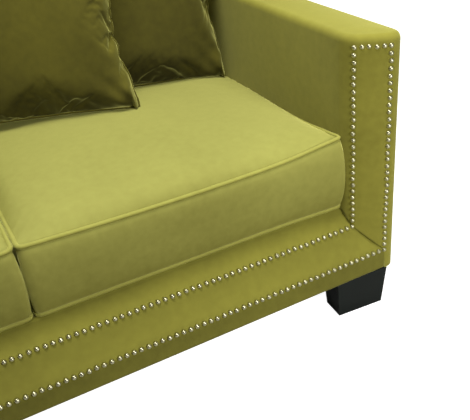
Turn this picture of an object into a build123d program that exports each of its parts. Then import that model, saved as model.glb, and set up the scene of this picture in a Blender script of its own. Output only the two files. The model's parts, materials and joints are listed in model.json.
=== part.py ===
"""Two-seat velvet sofa with bevelled, nail-trimmed arm and base fronts.

Millimetres. +Z is up, -Y is the front, +X is the right hand of somebody facing the sofa.
The origin is on the floor, under the centre of the bounding box.
Every function returns one named piece at its place in the finished sofa.
"""

from build123d import *
import math
import os

# ---------------------------------------------------------------- driving dimensions
NAIL_PITCH = 15.0
NAIL_HEAD_R = 4.75
NAIL_HEAD_H = 3.0
NAIL_SHANK_R = 0.8
NAIL_SHANK_L = 10.0

LEG_H = 100.0
LEG_TOP = (128.0, 70.0)
LEG_FOOT = (113.0, 56.0)
LEG_TURN = -4.5
LEG_X = 697.0
FRONT_LEG_Y = -418.0
REAR_LEG_Y = 405.0

INNER_ROW_X = 690.0
INNER_ROW_Y = -419.0
INNER_ROW_Z = 214.0
FACE_OUT = 59.0
FACE_FORWARD = 38.0
FACE_DOWN = 63.0
OUTER_STRIP = 34.0
EDGE_R = 25.0
ROLL_BACK = 32.0
ROLL_IN = 13.0
PADDING = 14.0
DECK_Z = 256.0
ARM_TOP = 640.0
ARM_TOP_PAD = 18.0
BACK_Y = 457.0
BACK_TOP = 820.0
BACK_LEAN = 9.0
BACK_FOOT_Y = 299.0

BOARD = 28.0
RAIL_BOTTOM = 102.0
RAIL_TOP = 205.0

SEAT_W = 674.0
SEAT_FRONT = -391.0
SEAT_BACK = 288.0
SEAT_GAP = 3.0
SEAT_EDGE_Z = 414.0
SEAT_CROWN = 40.0
SEAT_CORNER_R = 28.0
SEAT_BEVEL_Y = -60.0
PIPE_R = 4.2
PIPE_SET = 2.5
CLOTH = 2.0
CLEAR = 0.6

BLOCK_T = 40.0
BOLT_R = 4.0
BOLT_LOW = LEG_H - 45.0
NUT_R = 6.5
NUT_H = 10.5
FLANGE_R = 12.0
FLANGE_T = 1.5

WEB_T = 2.0
WEB_W = 50.0
WEB_FOOT = 240.0

BACK_CUSHION_T = 140.0
BACK_CUSHION_H = 445.0
BACK_CUSHION_W = 668.0

PILLOW_SIZE = 420.0
PILLOW_FLAT = 250.0
PILLOW_HALF_T = 45.0

# ---------------------------------------------------------------- derived places
OUTER_ROW_X = INNER_ROW_X + FACE_OUT
OUTER_ROW_Y = INNER_ROW_Y - FACE_FORWARD
OUTER_ROW_Z = INNER_ROW_Z - FACE_DOWN
ARM_IN_X = INNER_ROW_X - ROLL_IN
ARM_OUT_X = OUTER_ROW_X + OUTER_STRIP
SEAM_X = OUTER_ROW_X + 4.0
ROLL_TOP_Y = INNER_ROW_Y + ROLL_BACK
PANEL_TOP = ARM_TOP - ARM_TOP_PAD
SEAT_BOTTOM = DECK_Z + CLEAR
SEAT_MID_X = (SEAT_W + SEAT_GAP) / 2
SPRING_Z = 226.0
SPRING_R = 1.9
POST_IN_X = ARM_IN_X + PADDING
POST_OUT_X = ARM_OUT_X - PADDING
POST_FRONT_X = POST_IN_X + 9
WRAP_TOP = BACK_TOP - PADDING - 4
LEAN = math.tan(math.radians(BACK_LEAN))
POST_TOP = BACK_TOP - 50
BLOCK_TOP = RAIL_BOTTOM + BLOCK_T


def block(x_range, y_range, z_range):
    """A box given by its three ranges."""
    size = [hi - lo for lo, hi in (x_range, y_range, z_range)]
    middle = [(hi + lo) / 2 for lo, hi in (x_range, y_range, z_range)]
    return Pos(*middle) * Box(*size)


def prism_x(outline, x_range):
    """A (Y, Z) outline carried along X."""
    face = Plane.YZ.offset(x_range[0]) * make_face(Polyline(*outline, close=True))
    return extrude(face, amount=x_range[1] - x_range[0])


def prism_y(outline, y_range):
    """An (X, Z) outline carried along Y."""
    face = Plane.XZ.offset(-y_range[0]) * make_face(Polyline(*outline, close=True))
    return extrude(face, amount=y_range[0] - y_range[1])


def prism_z(outline, z_range):
    """An (X, Y) outline carried along Z."""
    face = Plane.XY.offset(z_range[0]) * make_face(Polyline(*outline, close=True))
    return extrude(face, amount=z_range[1] - z_range[0])


def other_side(piece):
    """The same piece on the left of the sofa."""
    return mirror(piece, about=Plane.YZ)


def group(pieces):
    """Several separate solids that share one node."""
    return Compound(children=list(pieces))


def inside_back_y(z):
    """Where the leaning inside back is at a height."""
    return BACK_FOOT_Y + (z - DECK_Z) * LEAN


def leaning_slab(x_half, z_range, depth_range):
    """A slab parallel to the inside back, between two depths behind its face."""
    low, high = z_range
    near, far = depth_range
    outline = [
        (inside_back_y(low) + near, low),
        (inside_back_y(high) + near, high),
        (inside_back_y(high) + far, high),
        (inside_back_y(low) + far, low),
    ]
    return prism_x(outline, (-x_half, x_half))


# ---------------------------------------------------------------- timber frame
def front_rail():
    inner = OUTER_ROW_Y + PADDING
    outline = [
        (inner, RAIL_BOTTOM),
        (inner, OUTER_ROW_Z - 3),
        (INNER_ROW_Y + PADDING + 2, INNER_ROW_Z - 4),
        (INNER_ROW_Y + BOARD + 16, INNER_ROW_Z - 4),
        (inner + BOARD, OUTER_ROW_Z - 3),
        (inner + BOARD, RAIL_BOTTOM),
    ]
    return prism_x(outline, (-INNER_ROW_X, INNER_ROW_X))


def back_rail():
    y = BACK_Y - PADDING
    half = POST_OUT_X - (EDGE_R - PADDING)
    return block((-half, half), (y - BOARD, y), (RAIL_BOTTOM, RAIL_TOP))


def end_rail():
    front = INNER_ROW_Y + BOARD + 30
    rear = BACK_Y - PADDING - BOARD
    return block((POST_OUT_X - BOARD, POST_OUT_X), (front, rear), (RAIL_BOTTOM, RAIL_TOP))


def centre_stretcher():
    front = OUTER_ROW_Y + PADDING + BOARD
    rear = BACK_Y - PADDING - BOARD
    return block((-BOARD / 2, BOARD / 2), (front, rear), (RAIL_BOTTOM, RAIL_TOP - 60))


def arm_front_post():
    """The post behind the bevelled arm front, cut to the same slant."""
    outline = [
        (POST_FRONT_X, INNER_ROW_Y + PADDING + 3),
        (OUTER_ROW_X + 3, OUTER_ROW_Y + PADDING + 5),
        (POST_OUT_X, OUTER_ROW_Y + PADDING + 14),
        (POST_OUT_X, INNER_ROW_Y + BOARD + 30),
        (POST_FRONT_X, INNER_ROW_Y + BOARD + 30),
    ]
    return prism_z(outline, (BLOCK_TOP, PANEL_TOP - BOARD))


def arm_top_rail():
    rear = BACK_Y - PADDING - BOARD
    front = ROLL_TOP_Y + 1
    return block((POST_IN_X, POST_OUT_X), (front, rear), (PANEL_TOP - BOARD, PANEL_TOP))


def back_posts():
    """Three leaning posts: one at each end of the back and one in its middle."""
    outline = [
        (inside_back_y(RAIL_TOP) + PADDING, RAIL_TOP),
        (inside_back_y(POST_TOP) + PADDING, POST_TOP),
        (BACK_Y - PADDING, POST_TOP),
        (BACK_Y - PADDING, RAIL_TOP),
    ]
    post = prism_x(outline, (-BOARD, BOARD))
    end_x = ARM_IN_X - BOARD
    return group([Pos(-end_x, 0, 0) * post, post, Pos(end_x, 0, 0) * post])


def back_tack_rail():
    """The cross rail at the foot of the inside back, which the webbing starts from."""
    heights = (WEB_FOOT, WEB_FOOT + BOARD)
    rail = leaning_slab(ARM_IN_X - 2 * BOARD, heights, (PADDING + WEB_T, PADDING + BOARD))
    return group((rail - back_posts()).solids())


def back_top_rail():
    low = POST_TOP
    high = WRAP_TOP
    outline = [
        (inside_back_y(low) + PADDING, low),
        (inside_back_y(high) + PADDING, high),
        (BACK_Y - PADDING, high),
        (BACK_Y - PADDING, low),
    ]
    return prism_x(outline, (-POST_OUT_X, POST_OUT_X))


def bolt_places():
    """The four hanger bolts, each behind its rail and near the middle of its leg."""
    for side in (1, -1):
        yield side * LEG_X, INNER_ROW_Y + BOARD + 4
        yield side * LEG_X, REAR_LEG_Y - 22


def corner_blocks():
    """Four blocks inside the corners of the seat frame, which the legs bolt to."""
    blocks = []
    for x, y in bolt_places():
        side = math.copysign(1, x)
        inner = side * (POST_IN_X - 60)
        outer = side * (POST_OUT_X - BOARD)
        body = block(sorted((inner, outer)), (y - 28, y + 28), (RAIL_BOTTOM, BLOCK_TOP))
        bolt_hole = Pos(x, y, RAIL_BOTTOM) * Cylinder(BOLT_R, 3 * BLOCK_T)
        nut_seat = Pos(x, y, BLOCK_TOP - NUT_H / 2) * Cylinder(NUT_R, NUT_H)
        flange_seat = Pos(x, y, BLOCK_TOP) * Cylinder(FLANGE_R, 2 * FLANGE_T)
        blocks.append(body - bolt_hole - nut_seat - flange_seat)
    return group(blocks)


# ---------------------------------------------------------------- legs and their fasteners
def leg(x, y, turn, bolt):
    """A block leg that tapers to the floor, drilled for its hanger bolt."""
    place = Pos(x, y, 0) * Rot(0, 0, turn)
    foot = place * Rectangle(*LEG_FOOT)
    top = place * Pos(0, 0, LEG_H) * Rectangle(*LEG_TOP)
    solid = loft([foot, top])
    hole_length = LEG_H - BOLT_LOW
    hole = Pos(bolt[0], bolt[1], BOLT_LOW + hole_length / 2) * Cylinder(BOLT_R, hole_length)
    return solid - hole


def leg_bolts():
    length = BLOCK_TOP - BOLT_LOW
    return group(Pos(x, y, BOLT_LOW + length / 2) * Cylinder(BOLT_R, length) for x, y in bolt_places())


def leg_tee_nuts():
    nuts = []
    for x, y in bolt_places():
        barrel = Pos(x, y, BLOCK_TOP - NUT_H / 2) * Cylinder(NUT_R, NUT_H)
        flange = Pos(x, y, BLOCK_TOP - FLANGE_T / 2) * Cylinder(FLANGE_R, FLANGE_T)
        bore = Pos(x, y, BLOCK_TOP) * Cylinder(BOLT_R, 4 * NUT_H)
        nuts.append(barrel + flange - bore)
    return group(nuts)


# ---------------------------------------------------------------- springs, webbing and deck
SPRINGS_PER_SEAT = 4
SPRING_PITCH = 26.0
SPRING_HALF_W = 24.0
SPRING_FRONT = INNER_ROW_Y + BOARD + 34
SPRING_REAR = BACK_Y - PADDING - BOARD - 6


def spring_rows():
    """The X of every spring."""
    step = ARM_IN_X / SPRINGS_PER_SEAT
    for side in (1, -1):
        for i in range(SPRINGS_PER_SEAT):
            yield side * (i + 0.5) * step


def zigzag_spring(x):
    """One flat sinuous spring: a wire that swings from side to side down its length."""
    turns = int((SPRING_REAR - SPRING_FRONT) / SPRING_PITCH)
    step = (SPRING_REAR - SPRING_FRONT) / turns
    points = [(x, SPRING_FRONT, SPRING_Z)]
    for i in range(turns):
        swing = SPRING_HALF_W if i % 2 else -SPRING_HALF_W
        points.append((x + swing, SPRING_FRONT + (i + 0.1) * step, SPRING_Z))
        points.append((x + swing, SPRING_FRONT + (i + 0.9) * step, SPRING_Z))
    points.append((x, SPRING_REAR, SPRING_Z))
    path = FilletPolyline(*points, radius=0.38 * step)
    section = Plane(origin=path @ 0, z_dir=path % 0) * Circle(SPRING_R)
    return sweep(section, path=path)


def seat_springs():
    return group(zigzag_spring(x) for x in spring_rows())


def spring_clips():
    """A folded steel clip over each end of each spring."""
    clips = []
    for x in spring_rows():
        for y in (SPRING_FRONT - 5, SPRING_REAR + 5):
            body = block((x - 10, x + 10), (y - 9, y + 9), (SPRING_Z - 6, SPRING_Z + 6))
            tunnel = block((x - 11, x + 11), (y - 7.5, y + 7.5), (SPRING_Z - 4.5, SPRING_Z + 4.5))
            mouth_y = (y, y + 12) if y < 0 else (y - 12, y)
            mouth = block((x - 11, x + 11), mouth_y, (SPRING_Z - 4.5, SPRING_Z + 4.5))
            clips.append(body - tunnel - mouth)
    return group(clips)


def spring_ledges():
    """The two boards that the spring clips are stapled to, notched round the back posts."""
    top = SPRING_Z - 6
    y_front = SPRING_FRONT - 14
    front = block((-ARM_IN_X, ARM_IN_X), (y_front, y_front + BOARD), (top - 2 * BOARD, top))
    rear = block((-ARM_IN_X, ARM_IN_X), (SPRING_REAR - 5, BACK_Y - PADDING), (RAIL_TOP, top))
    return group([front] + (rear - back_posts()).solids())


def back_webbing():
    """Elastic straps up the back, from the tack rail to the top rail."""
    strap = leaning_slab(WEB_W / 2, (WEB_FOOT, POST_TOP + BOARD), (PADDING, PADDING + WEB_T))
    strap -= back_top_rail()
    return group(Pos(side * (130 + 170 * i), 0, 0) * strap for side in (1, -1) for i in range(3))


def deck_pad():
    """The felted pad and cloth that the seat cushions lie on."""
    front = ROLL_TOP_Y + PADDING + 2
    return block((-ARM_IN_X, ARM_IN_X), (front, inside_back_y(DECK_Z - 24)), (SPRING_Z + 8, DECK_Z))


def dust_cover():
    edge = PADDING + 4
    half = ARM_OUT_X - edge
    sheet = block((-half, half), (OUTER_ROW_Y + edge, BACK_Y - edge), (LEG_H, RAIL_BOTTOM))
    for x, y in bolt_places():
        sheet -= Pos(x, y, LEG_H) * Cylinder(BOLT_R, 20)
    return sheet


# ---------------------------------------------------------------- upholstery
def below_mitre():
    """Everything under the mitre between the arm front and the base front, right side."""
    reach = 1000.0
    run = FACE_OUT / FACE_DOWN
    outline = [
        (INNER_ROW_X, INNER_ROW_Z),
        (OUTER_ROW_X, OUTER_ROW_Z),
        (OUTER_ROW_X + 60 * run, OUTER_ROW_Z - 60),
        (OUTER_ROW_X + 60 * run, -reach),
        (-reach, -reach),
        (-reach, INNER_ROW_Z),
    ]
    return prism_y(outline, (-reach, reach))


def base_face_outline():
    """The bevelled face and the lower band, in section."""
    return [
        (INNER_ROW_Y, INNER_ROW_Z),
        (OUTER_ROW_Y, OUTER_ROW_Z),
        (OUTER_ROW_Y, LEG_H),
        (OUTER_ROW_Y + PADDING, LEG_H),
        (OUTER_ROW_Y + PADDING, OUTER_ROW_Z - 3),
        (INNER_ROW_Y + PADDING + 2, INNER_ROW_Z - 4),
        (INNER_ROW_Y + PADDING + 2, INNER_ROW_Z),
    ]


def base_roll_outline():
    """The soft roll from the upper nails back to the deck, in section."""
    return [
        (INNER_ROW_Y, INNER_ROW_Z),
        (INNER_ROW_Y + 8, INNER_ROW_Z + 13),
        (INNER_ROW_Y + 19, INNER_ROW_Z + 28),
        (ROLL_TOP_Y, DECK_Z - 3),
        (ROLL_TOP_Y + PADDING + 2, DECK_Z),
        (ROLL_TOP_Y + PADDING + 2, SPRING_Z + 8),
        (ROLL_TOP_Y, SPRING_Z + 2),
        (INNER_ROW_Y + PADDING + 2, INNER_ROW_Z),
    ]


def base_front_panel():
    face = prism_x(base_face_outline(), (-SEAM_X, SEAM_X))
    under = below_mitre()
    face = face & under & other_side(under)
    roll = prism_x(base_roll_outline(), (-ARM_IN_X, ARM_IN_X))
    return face + roll


def arm_front_panel():
    """The bevelled arm front with its roll into the seat."""
    outline = [
        (ARM_IN_X, ROLL_TOP_Y),
        (INNER_ROW_X - 8, INNER_ROW_Y + 16),
        (INNER_ROW_X, INNER_ROW_Y),
        (OUTER_ROW_X, OUTER_ROW_Y),
        (SEAM_X, OUTER_ROW_Y),
        (SEAM_X, OUTER_ROW_Y + PADDING),
        (OUTER_ROW_X + 3, OUTER_ROW_Y + PADDING + 1),
        (POST_FRONT_X, INNER_ROW_Y + PADDING + 2),
        (POST_IN_X, ROLL_TOP_Y),
    ]
    upright = prism_z(outline, (LEG_H, PANEL_TOP))
    return upright - below_mitre()


def arm_outside_panel():
    """The padded outside of the arm, wrapped round its front and rear edges."""
    outer = block((SEAM_X, ARM_OUT_X), (OUTER_ROW_Y, BACK_Y), (LEG_H, PANEL_TOP))
    corners = outer.edges().filter_by(Axis.Z).group_by(Axis.X)[-1]
    outer = fillet(corners, EDGE_R)
    hollow = block((SEAM_X - 1, POST_OUT_X), (OUTER_ROW_Y + PADDING, BACK_Y - PADDING), (0, ARM_TOP))
    inner_edges = hollow.edges().filter_by(Axis.Z).group_by(Axis.X)[-1]
    hollow = fillet(inner_edges, EDGE_R - PADDING)
    return outer - hollow


def arm_inside_panel():
    rear = inside_back_y(PANEL_TOP) + PADDING
    return block((ARM_IN_X, POST_IN_X), (ROLL_TOP_Y, rear), (DECK_Z - 24, PANEL_TOP))


def arm_top_panel():
    """The pad over the arm, with the same slanted front as the arm below it."""
    outline = [
        (ARM_IN_X, ROLL_TOP_Y),
        (INNER_ROW_X, INNER_ROW_Y),
        (OUTER_ROW_X, OUTER_ROW_Y),
        (ARM_OUT_X - EDGE_R, OUTER_ROW_Y),
        (ARM_OUT_X - 7, OUTER_ROW_Y + 7),
        (ARM_OUT_X, OUTER_ROW_Y + EDGE_R),
        (ARM_OUT_X, inside_back_y(PANEL_TOP)),
        (ARM_IN_X, inside_back_y(PANEL_TOP)),
    ]
    pad = prism_z(outline, (PANEL_TOP, ARM_TOP))
    return chamfer(pad.faces().sort_by(Axis.Z)[-1].edges(), ARM_TOP_PAD / 3)


def inside_back_panel():
    """The padded inside back: between the arms, and across them above their tops."""
    low_part = leaning_slab(ARM_IN_X, (DECK_Z - 24, PANEL_TOP), (0, PADDING))
    high_part = leaning_slab(SEAM_X, (PANEL_TOP, WRAP_TOP), (0, PADDING))
    return low_part + high_part


def back_top_panel():
    """The padded top edge of the back."""
    front = inside_back_y(WRAP_TOP)
    outline = [
        (front, WRAP_TOP),
        (front + 4, BACK_TOP - 6),
        (front + 14, BACK_TOP),
        (BACK_Y - 14, BACK_TOP),
        (BACK_Y - 4, BACK_TOP - 6),
        (BACK_Y, WRAP_TOP),
    ]
    return prism_x(outline, (-ARM_OUT_X, ARM_OUT_X))


def outside_back_panel():
    return block((-SEAM_X, SEAM_X), (BACK_Y - PADDING, BACK_Y), (LEG_H, WRAP_TOP))


def back_end_panel():
    """The padded end of the back, where it stands above the arm."""
    front = inside_back_y(PANEL_TOP)
    outer = block((SEAM_X, ARM_OUT_X), (front, BACK_Y), (PANEL_TOP, WRAP_TOP))
    rear_edge = outer.edges().filter_by(Axis.Z).group_by(Axis.X)[-1].sort_by(Axis.Y)[-1]
    outer = fillet(rear_edge, EDGE_R)
    hollow = block((SEAM_X - 1, POST_OUT_X), (front + PADDING, BACK_Y - PADDING), (0, BACK_TOP))
    in_front = leaning_slab(ARM_OUT_X + 1, (PANEL_TOP - 1, BACK_TOP), (-2 * PILLOW_SIZE, 0))
    return outer - hollow - in_front


# ---------------------------------------------------------------- nails
def nail(place, outward):
    """A domed nail: its head on the cloth and its shank driven into the padding."""
    dome_r = (NAIL_HEAD_R ** 2 + NAIL_HEAD_H ** 2) / (2 * NAIL_HEAD_H)
    ball = Pos(0, 0, NAIL_HEAD_H - dome_r) * Sphere(dome_r)
    keep = Pos(0, 0, NAIL_HEAD_H / 2) * Cylinder(NAIL_HEAD_R + 1, NAIL_HEAD_H)
    shank = Pos(0, 0, -NAIL_SHANK_L / 2) * Cylinder(NAIL_SHANK_R, NAIL_SHANK_L)
    head = ball & keep
    return Plane(origin=place, z_dir=outward) * (head + shank)


def row_steps(start, end):
    """Nail places along a straight row, a whole number of pitches apart."""
    span = Vector(*end) - Vector(*start)
    gaps = max(1, round(span.length / NAIL_PITCH))
    return [Vector(*start) + span * (i / gaps) for i in range(gaps + 1)]


FACE_SLOPE = math.atan2(FACE_FORWARD, FACE_DOWN)
ARM_SLOPE = math.atan2(FACE_FORWARD, FACE_OUT)
NAIL_INSET = 4.5


def base_nails():
    """The two rows along the base front, each set just inside an edge of the bevelled face."""
    outward = Vector(0, -math.cos(FACE_SLOPE), math.sin(FACE_SLOPE))
    down = Vector(0, -math.sin(FACE_SLOPE), -math.cos(FACE_SLOPE))
    upper = Vector(INNER_ROW_X, INNER_ROW_Y, INNER_ROW_Z) + down * NAIL_INSET
    lower = Vector(OUTER_ROW_X, OUTER_ROW_Y, OUTER_ROW_Z) - down * NAIL_INSET
    pieces = []
    for corner in (upper, lower):
        x = corner.X - NAIL_PITCH
        pieces += [nail(p, outward) for p in row_steps((-x, corner.Y, corner.Z), (x, corner.Y, corner.Z))]
    return group(pieces)


def arm_nails():
    """The rows up both edges of the bevelled arm front, joined by a short row at its top."""
    outward = Vector(-math.sin(ARM_SLOPE), -math.cos(ARM_SLOPE), 0)
    across = Vector(math.cos(ARM_SLOPE), -math.sin(ARM_SLOPE), 0)
    inner = Vector(INNER_ROW_X, INNER_ROW_Y, 0) + across * NAIL_INSET
    outer = Vector(OUTER_ROW_X, OUTER_ROW_Y, 0) - across * NAIL_INSET
    top = PANEL_TOP - NAIL_INSET
    inner_row = row_steps((inner.X, inner.Y, INNER_ROW_Z - NAIL_INSET), (inner.X, inner.Y, top))
    outer_row = row_steps((outer.X, outer.Y, OUTER_ROW_Z + NAIL_INSET), (outer.X, outer.Y, top))
    top_row = row_steps((inner.X, inner.Y, top), (outer.X, outer.Y, top))[1:-1]
    return group(nail(p, outward) for p in inner_row + outer_row + top_row)


# ---------------------------------------------------------------- loose cushions
def crown_section(inset):
    """Half width, edge height and crown height of a seat cushion, drawn in by an inset."""
    return SEAT_W / 2 - PIPE_SET - inset, SEAT_EDGE_Z - inset, SEAT_EDGE_Z + SEAT_CROWN - inset



def seat_form(inset):
    """A box cushion with a crowned top: an arc across it and an arc over its front."""
    half, edge, crest = crown_section(inset)
    front = SEAT_FRONT + PIPE_SET + inset
    rear = SEAT_BACK - PIPE_SET - inset
    bottom = SEAT_BOTTOM + inset
    arch = ThreePointArc((-half, edge), (0, crest), (half, edge))
    across = arch + Polyline((half, edge), (half, bottom), (-half, bottom), (-half, edge))
    body = extrude(Plane.XZ.offset(-rear) * make_face(across), amount=rear - front)
    halfway = (0.5 * front + 0.5 * SEAT_BEVEL_Y, crest - 12)
    rise = ThreePointArc((front, edge), halfway, (SEAT_BEVEL_Y, crest + 1))
    over = rise + Polyline(
        (SEAT_BEVEL_Y, crest + 1), (rear, crest + 1), (rear, bottom), (front, bottom), (front, edge)
    )
    side = extrude(Plane.YZ.offset(-half) * make_face(over), amount=2 * half)
    body = body & side
    corners = body.edges().filter_by(Axis.Z)
    return fillet(corners, SEAT_CORNER_R - inset)


def seat_core(side):
    return Pos(side * SEAT_MID_X, 0, 0) * seat_form(CLOTH)


def seat_cover(side):
    return Pos(side * SEAT_MID_X, 0, 0) * (seat_form(0) - seat_form(CLOTH))


def piping_loop(z):
    """A welt cord sewn round the cushion, flush with its sides."""
    width = SEAT_W - 2 * PIPE_R
    depth = SEAT_BACK - SEAT_FRONT - 2 * PIPE_R
    middle_y = (SEAT_BACK + SEAT_FRONT) / 2
    outline = Pos(0, middle_y, z) * RectangleRounded(width, depth, SEAT_CORNER_R - PIPE_R)
    path = outline.wire()
    section = Plane(origin=path @ 0, z_dir=path % 0) * Circle(PIPE_R)
    return sweep(section, path=path)


def seat_piping(side):
    low = piping_loop(SEAT_BOTTOM + PIPE_R)
    high = piping_loop(SEAT_EDGE_Z - PIPE_R)
    return group([Pos(side * SEAT_MID_X, 0, 0) * low, Pos(side * SEAT_MID_X, 0, 0) * high])


ZIP_Z = (SEAT_BOTTOM + SEAT_EDGE_Z) / 2
ZIP_HALF = 270.0
SLIDER_TRAVEL = 250.0


def seat_zip(side):
    """The zip tape across the back of the seat cushion."""
    x = side * SEAT_MID_X
    y = SEAT_BACK - PIPE_SET
    return block((x - ZIP_HALF, x + ZIP_HALF), (y, y + 1.2), (ZIP_Z - 12, ZIP_Z + 12))


def seat_zip_slider(side):
    x = side * SEAT_MID_X + SLIDER_TRAVEL
    y = SEAT_BACK - PIPE_SET + 1.5
    return block((x - 6, x + 6), (y, y + 3.5), (ZIP_Z - 5, ZIP_Z + 5))


def back_form(inset):
    """A back cushion: a leaning slab with a round top, hollowed below to sit on the crown."""
    half = BACK_CUSHION_W / 2 - inset
    low = SEAT_EDGE_Z - 6
    high = low + BACK_CUSHION_H - inset
    gap = CLEAR + inset
    slab = leaning_slab(half, (low, high), (-gap - BACK_CUSHION_T + 2 * inset, -gap))
    slab = fillet(slab.edges().filter_by(Axis.X).group_by(Axis.Z)[-1], 45 - inset)
    slab = fillet(slab.edges().filter_by(Axis.X).group_by(Axis.Z)[0], 20 - inset)
    seat_half, edge, crest = crown_section(-CLEAR - inset)
    arch = ThreePointArc((-seat_half, edge), (0, crest), (seat_half, edge))
    under = arch + Polyline((seat_half, edge), (seat_half, 0), (-seat_half, 0), (-seat_half, edge))
    seat = extrude(Plane.XZ.offset(-BACK_Y) * make_face(under), amount=2 * BACK_Y)
    return slab - seat


def back_core(side):
    return Pos(side * SEAT_MID_X, 0, 0) * back_form(CLOTH)


def back_cover(side):
    return Pos(side * SEAT_MID_X, 0, 0) * (back_form(0) - back_form(CLOTH))


# a toss pillow: x and y of its lower right corner, its height, yaw, lean and roll in degrees
FRONT_PILLOW = (372.0, -56.0, 460.0, 21.0, 15.0, 0.0)
CORNER_PILLOW = (646.0, 62.0, 434.0, 6.0, 9.5, -5.0)


def pillow_frame(place):
    """The plane of a pillow: x along its lower edge, y up its face, z out of its front."""
    x, y, z, yaw, lean, roll = place
    yaw, lean = math.radians(yaw), math.radians(lean)
    along = Vector(math.cos(yaw), -math.sin(yaw), 0)
    front = Vector(-math.sin(yaw) * math.cos(lean), -math.cos(yaw) * math.cos(lean), math.sin(lean))
    plane = Plane(origin=(x, y, z), x_dir=along, z_dir=front)
    return plane * Rot(0, 0, roll)


def pillow_form(place, inset):
    """A knife-edge pillow: thin at its seam and full in the middle."""
    side = PILLOW_SIZE - 2 * inset
    middle = Pos(-PILLOW_SIZE / 2, PILLOW_SIZE / 2, 0)
    rim = middle * Rectangle(side, side)
    halves = []
    for out in (1, -1):
        flat = middle * Pos(0, 0, out * (PILLOW_HALF_T - inset)) * Rectangle(PILLOW_FLAT, PILLOW_FLAT)
        halves.append(loft([rim, flat]))
    return pillow_frame(place) * (halves[0] + halves[1])


def pillow_insert(place):
    return pillow_form(place, CLOTH)


def pillow_cover(place):
    return pillow_form(place, 0) - pillow_form(place, CLOTH)


# ---------------------------------------------------------------- all pieces by name
def pieces():
    yield "front_rail", front_rail()
    yield "back_rail", back_rail()
    yield "centre_stretcher", centre_stretcher()
    yield "corner_blocks", corner_blocks()
    yield "spring_ledges", spring_ledges()
    yield "seat_springs", seat_springs()
    yield "spring_clips", spring_clips()
    yield "back_posts", back_posts()
    yield "back_tack_rail", back_tack_rail()
    yield "back_top_rail", back_top_rail()
    yield "back_webbing", back_webbing()
    yield "deck_pad", deck_pad()
    yield "dust_cover", dust_cover()
    yield "base_front_panel", base_front_panel()
    yield "inside_back_panel", inside_back_panel()
    yield "outside_back_panel", outside_back_panel()
    yield "back_top_panel", back_top_panel()
    yield "base_nails", base_nails()
    yield "leg_bolts", leg_bolts()
    yield "leg_tee_nuts", leg_tee_nuts()
    for name, maker in (
        ("end_rail", end_rail),
        ("arm_front_post", arm_front_post),
        ("arm_top_rail", arm_top_rail),
        ("arm_front_panel", arm_front_panel),
        ("arm_outside_panel", arm_outside_panel),
        ("arm_inside_panel", arm_inside_panel),
        ("arm_top_panel", arm_top_panel),
        ("back_end_panel", back_end_panel),
        ("arm_nails", arm_nails),
    ):
        piece = maker()
        yield name + "_right", piece
        yield name + "_left", other_side(piece)
    bolts = list(bolt_places())
    yield "front_leg_right", leg(LEG_X, FRONT_LEG_Y, LEG_TURN, bolts[0])
    yield "rear_leg_right", leg(LEG_X, REAR_LEG_Y, 0, bolts[1])
    yield "front_leg_left", leg(-LEG_X, FRONT_LEG_Y, 0, bolts[2])
    yield "rear_leg_left", leg(-LEG_X, REAR_LEG_Y, 0, bolts[3])
    for side, word in ((1, "right"), (-1, "left")):
        yield "seat_core_" + word, seat_core(side)
        yield "seat_cover_" + word, seat_cover(side)
        yield "seat_piping_" + word, seat_piping(side)
        yield "seat_zip_" + word, seat_zip(side)
        yield "seat_zip_slider_" + word, seat_zip_slider(side)
        yield "back_core_" + word, back_core(side)
        yield "back_cover_" + word, back_cover(side)
    for word, place in (("front", FRONT_PILLOW), ("corner", CORNER_PILLOW)):
        yield "pillow_insert_" + word, pillow_insert(place)
        yield "pillow_cover_" + word, pillow_cover(place)


os.makedirs("parts", exist_ok=True)
for node, shape in pieces():
    export_step(shape, "parts/" + node + ".step")
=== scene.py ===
"""Dresses the velvet sofa: every soft surface is a grid worked out with numpy, in metres.

The CAD frame gives the places; the pieces here stand for its plain soft solids.
"""
import json
import math

import bmesh
import bpy
import numpy as np
from mathutils import Matrix


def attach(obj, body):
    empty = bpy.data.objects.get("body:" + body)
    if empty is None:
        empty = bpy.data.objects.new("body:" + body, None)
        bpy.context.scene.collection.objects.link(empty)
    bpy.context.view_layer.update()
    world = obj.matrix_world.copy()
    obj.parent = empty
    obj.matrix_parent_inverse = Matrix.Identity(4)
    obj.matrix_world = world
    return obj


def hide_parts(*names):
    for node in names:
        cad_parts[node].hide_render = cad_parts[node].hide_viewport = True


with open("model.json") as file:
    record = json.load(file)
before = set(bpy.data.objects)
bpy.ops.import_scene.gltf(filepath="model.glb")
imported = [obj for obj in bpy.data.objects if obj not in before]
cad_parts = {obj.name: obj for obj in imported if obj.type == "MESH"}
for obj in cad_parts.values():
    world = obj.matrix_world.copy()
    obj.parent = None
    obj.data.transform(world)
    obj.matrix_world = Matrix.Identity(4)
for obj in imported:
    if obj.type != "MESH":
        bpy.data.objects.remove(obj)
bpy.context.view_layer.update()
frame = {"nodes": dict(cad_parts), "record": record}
rng = np.random.default_rng(7)
MM = 0.001

# ---------------------------------------------------------------- the sofa's own sizes, in millimetres
ROW_X, ROW_Y, ROW_Z = 690.0, -419.0, 214.0
FACE_OUT, FACE_FORWARD, FACE_DOWN = 59.0, 38.0, 63.0
OUT_X, OUT_Y, OUT_Z = ROW_X + FACE_OUT, ROW_Y - FACE_FORWARD, ROW_Z - FACE_DOWN
ARM_IN, ARM_OUT, SEAM_X = 677.0, 783.0, 753.0
EDGE_R = 25.0
DECK_Z, ARM_TOP, BACK_TOP, BACK_Y = 256.0, 640.0, 820.0, 457.0
BAND_Z = 100.0
LEAN = math.tan(math.radians(9.0))
BACK_FOOT_Y = 299.0
SEAT_MID_X, SEAT_HALF_W = 338.5, 333.6
SEAT_FRONT, SEAT_REAR = -387.5, 284.0
SEAT_LOW, SEAT_EDGE = 260.8, 410.5
PIPE_R = 4.6
NAIL_PITCH, NAIL_R, NAIL_H = 15.0, 5.1, 4.8
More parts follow.
